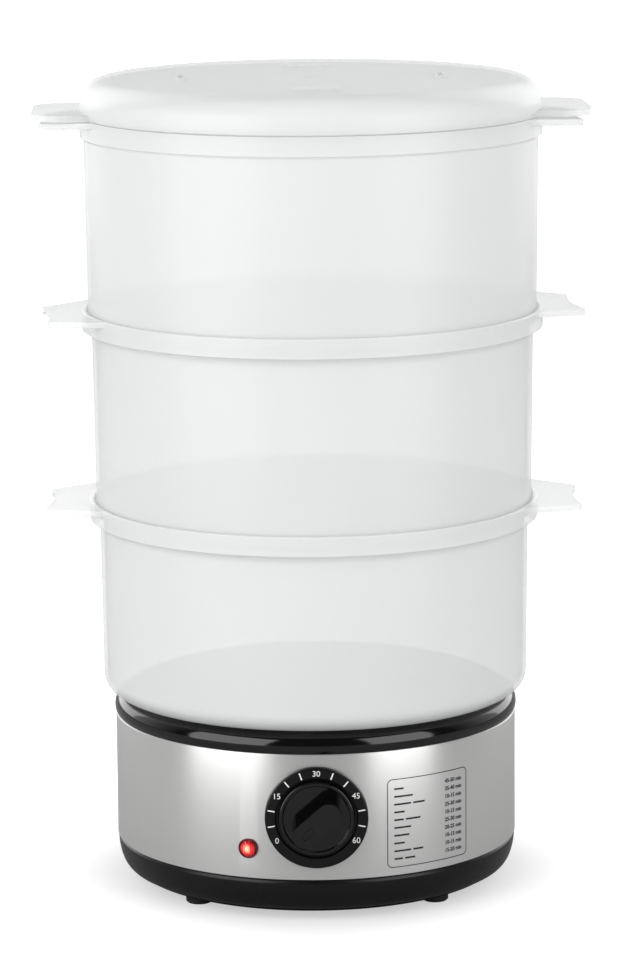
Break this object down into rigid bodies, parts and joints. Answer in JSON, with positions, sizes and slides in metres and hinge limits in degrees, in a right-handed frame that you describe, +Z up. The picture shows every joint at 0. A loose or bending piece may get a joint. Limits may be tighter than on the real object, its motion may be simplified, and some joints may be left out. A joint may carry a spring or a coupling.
{
  "type": "electric food steamer",
  "caption": "Electric food steamer: a round steel-banded heating base with a wind-up timer knob and pilot lamp, under stacked translucent perforated tiers and a vented lid.",
  "frame": {"origin": "on the table, at the middle of the four feet, on the stack's axis", "axes": "+Z up, -Y towards the front with the timer knob, +X to the right seen from the front"},
  "size_m": [0.2732, 0.2311, 0.4008],
  "materials": {
    "gloss_black": "glossy moulded",
    "satin_black": "satin moulded",
    "brushed_steel": "satin, brushed round the base",
    "frosted_plastic": "translucent, milky",
    "rubber_black": "matte",
    "zinc_steel": "zinc plated",
    "heater_steel": "satin",
    "silicone": "matte",
    "element_sheath": "oxidised",
    "ivory_plastic": "moulded",
    "bell_brass": "polished",
    "red_lens": "clear red jewel",
    "lamp_glass": "clear",
    "wire_brown": "insulation",
    "wire_red": "insulation",
    "wire_blue": "insulation",
    "wire_green": "insulation"
  },
  "bodies": {
    "base": {"bottom_housing": "satin_black", "stainless_band": "brushed_steel", "reservoir": "gloss_black", "rubber_feet": "rubber_black", "housing_screws": "zinc_steel", "heater_plate": "heater_steel", "heater_gasket": "silicone", "heating_element": "element_sheath", "heater_bracket": "zinc_steel", "heater_nuts": "zinc_steel", "thermostat": "ivory_plastic", "thermal_fuse": "ivory_plastic", "sensor_clip": "zinc_steel", "timer_body": "ivory_plastic", "timer_bell": "bell_brass", "timer_screws": "zinc_steel", "dial_ring": "satin_black", "pilot_lens": "red_lens", "pilot_lamp": "lamp_glass", "pilot_clip": "zinc_steel", "cord_gland": "satin_black", "terminal_block": "ivory_plastic", "lead_live": "wire_brown", "lead_switched": "wire_red", "lead_neutral": "wire_blue", "lead_earth": "wire_green", "lamp_leads": "wire_red"},
    "knob": {"timer_shaft": "zinc_steel", "timer_knob": "gloss_black"},
    "sleeve": {"steam_sleeve": "frosted_plastic"},
    "tray": {"drip_tray": "frosted_plastic"},
    "tier_1": {"basket_1": "frosted_plastic"},
    "tier_2": {"basket_2": "frosted_plastic"},
    "tier_3": {"basket_3": "frosted_plastic"},
    "cover": {"lid": "frosted_plastic"}
  },
  "joints": [
    {"name": "timer_turn", "type": "hinge", "parent": "base", "child": "knob", "pos_m": [0, -0.1, 0.0537], "axis": [0, 1, 0], "range_deg": [0, 251]},
    {"name": "sleeve_lift", "type": "slide", "parent": "base", "child": "sleeve", "axis": [0, 0, 1], "range_m": [0, 0.06]},
    {"name": "tray_lift", "type": "slide", "parent": "sleeve", "child": "tray", "axis": [0, 0, 1], "range_m": [0, 0.05]},
    {"name": "tier_1_lift", "type": "slide", "parent": "tray", "child": "tier_1", "axis": [0, 0, 1], "range_m": [0, 0.06]},
    {"name": "tier_2_lift", "type": "slide", "parent": "tier_1", "child": "tier_2", "axis": [0, 0, 1], "range_m": [0, 0.06]},
    {"name": "tier_3_lift", "type": "slide", "parent": "tier_2", "child": "tier_3", "axis": [0, 0, 1], "range_m": [0, 0.06]},
    {"name": "lid_lift", "type": "slide", "parent": "tier_3", "child": "cover", "axis": [0, 0, 1], "range_m": [0, 0.08]}
  ]
}
